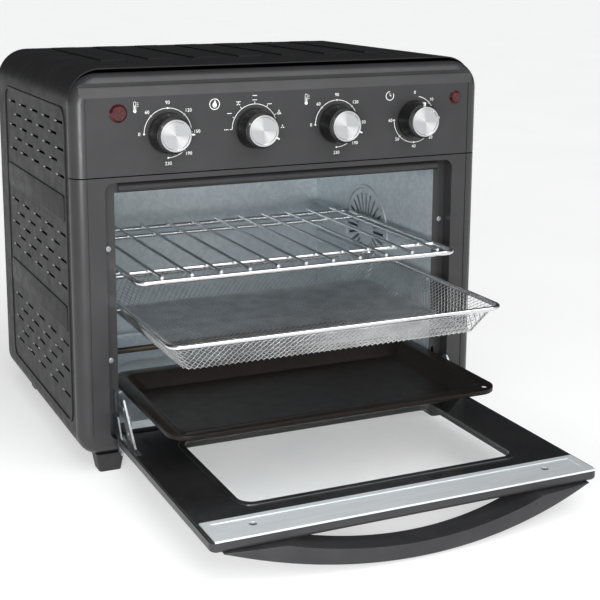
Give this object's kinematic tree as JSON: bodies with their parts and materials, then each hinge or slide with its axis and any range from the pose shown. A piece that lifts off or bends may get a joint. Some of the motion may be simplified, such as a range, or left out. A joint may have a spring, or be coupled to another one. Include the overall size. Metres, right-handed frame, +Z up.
{
  "type": "toaster oven",
  "caption": "Countertop toaster oven with drop-down glass door and bow handle, rack, mesh basket, baking tray, rotary knobs and slotted casing.",
  "frame": {"origin": "centre of the whole object's footprint at rest (door open), on the surface it stands on", "axes": "+Z up; the front, with the door and knobs, faces -Y; +X is to the right as seen from the front"},
  "size_m": [0.4, 0.543, 0.3592],
  "materials": {
    "casing_paint": "satin charcoal powder coat",
    "fascia_paint": "satin charcoal",
    "galvanised": "spangled galvanised sheet",
    "chrome": "bright chrome wire",
    "mesh_steel": "woven stainless wire",
    "tray_coating": "non-stick coating",
    "door_enamel": "satin black",
    "door_glass": "clear tempered glass",
    "trim_steel": "galvanised strip",
    "handle_plastic": "satin moulded",
    "knob_plastic": "satin moulded",
    "knob_cap": "spun aluminium",
    "lens_red": "dark red transparent lens",
    "heater_tube": "oxidised heater sheath",
    "ceramic": null,
    "foot_plastic": "moulded foot",
    "switch_body": "moulded switch case",
    "zinc": "zinc plated",
    "gland_plastic": "moulded gland"
  },
  "bodies": {
    "root": {"outer_casing": "casing_paint", "rear_panel": "casing_paint", "base_panel": "casing_paint", "front_feet": "foot_plastic", "rear_feet": "foot_plastic", "cord_gland": "gland_plastic", "casing_screws": "zinc", "control_panel": "fascia_paint", "front_frame": "fascia_paint", "heating_lamp_lens": "lens_red", "power_lamp_lens": "lens_red", "upper_thermostat": "switch_body", "function_switch": "switch_body", "lower_thermostat": "switch_body", "timer_switch": "switch_body", "cavity_flange": "fascia_paint", "top_bar": "fascia_paint", "cavity_left_wall": "galvanised", "cavity_right_wall": "galvanised", "cavity_floor": "galvanised", "cavity_top": "galvanised", "cavity_rear_wall": "galvanised", "right_runners": "galvanised", "left_runners": "galvanised", "crumb_tray": "galvanised", "lower_heaters": "heater_tube", "upper_heaters": "heater_tube", "heater_insulators": "ceramic", "fan_housing": "galvanised", "fan_motor": "zinc", "hinge_brackets": "zinc", "hinge_pins": "zinc", "hinge_springs": "zinc"},
    "door": {"door_frame": "fascia_paint", "door_inner_panel": "door_enamel", "door_glass": "door_glass", "door_trim_strip": "trim_steel", "door_handle": "handle_plastic", "handle_screws": "zinc", "right_hinge_arm": "zinc", "left_hinge_arm": "zinc"},
    "rack": {"rack_frame": "chrome", "rack_rods": "chrome"},
    "basket": {"basket_rim": "chrome", "basket_mesh": "mesh_steel"},
    "tray": {"baking_tray": "tray_coating"},
    "fan": {"fan_rotor": "galvanised", "fan_shaft": "zinc"},
    "upper_temp_knob": {"upper_temp_knob_shaft": "zinc", "upper_temp_knob_body": "knob_plastic", "upper_temp_knob_cap": "knob_cap"},
    "function_knob": {"function_knob_shaft": "zinc", "function_knob_body": "knob_plastic", "function_knob_cap": "knob_cap"},
    "lower_temp_knob": {"lower_temp_knob_shaft": "zinc", "lower_temp_knob_body": "knob_plastic", "lower_temp_knob_cap": "knob_cap"},
    "timer_knob": {"timer_knob_shaft": "zinc", "timer_knob_body": "knob_plastic", "timer_knob_cap": "knob_cap"}
  },
  "joints": [
    {"name": "door_hinge", "type": "hinge", "parent": "root", "child": "door", "pos_m": [0, -0.0235, 0.026], "axis": [-1, 0, 0], "range_deg": [0, 90]},
    {"name": "rack_slide", "type": "slide", "parent": "root", "child": "rack", "axis": [0, 1, 0], "range_m": [0, 0.083]},
    {"name": "basket_slide", "type": "slide", "parent": "root", "child": "basket", "axis": [0, 1, 0], "range_m": [0, 0.142]},
    {"name": "tray_slide", "type": "slide", "parent": "root", "child": "tray", "axis": [0, 1, 0], "range_m": [0, 0.207]},
    {"name": "upper_temp_knob_turn", "type": "hinge", "parent": "root", "child": "upper_temp_knob", "pos_m": [-0.1145, -0.0265, 0.3015], "axis": [0, 1, 0], "range_deg": [-180, 90]},
    {"name": "function_knob_turn", "type": "hinge", "parent": "root", "child": "function_knob", "pos_m": [-0.0332, -0.0265, 0.3015], "axis": [0, 1, 0], "range_deg": [-205, 0]},
    {"name": "lower_temp_knob_turn", "type": "hinge", "parent": "root", "child": "lower_temp_knob", "pos_m": [0.0481, -0.0265, 0.3015], "axis": [0, 1, 0], "range_deg": [-202, 68]},
    {"name": "timer_knob_turn", "type": "hinge", "parent": "root", "child": "timer_knob", "pos_m": [0.1294, -0.0265, 0.3015], "axis": [0, 1, 0], "range_deg": [0, 270]},
    {"name": "fan_spin", "type": "hinge", "parent": "root", "child": "fan", "pos_m": [0.17, 0.1335, 0.165], "axis": [1, 0, 0], "continuous": true}
  ],
  "couplings": [
    {"joint": "rack_slide", "follows": "door_hinge", "m_per_rad": 0.052839},
    {"joint": "basket_slide", "follows": "door_hinge", "m_per_rad": 0.0904},
    {"joint": "tray_slide", "follows": "door_hinge", "m_per_rad": 0.13178}
  ]
}
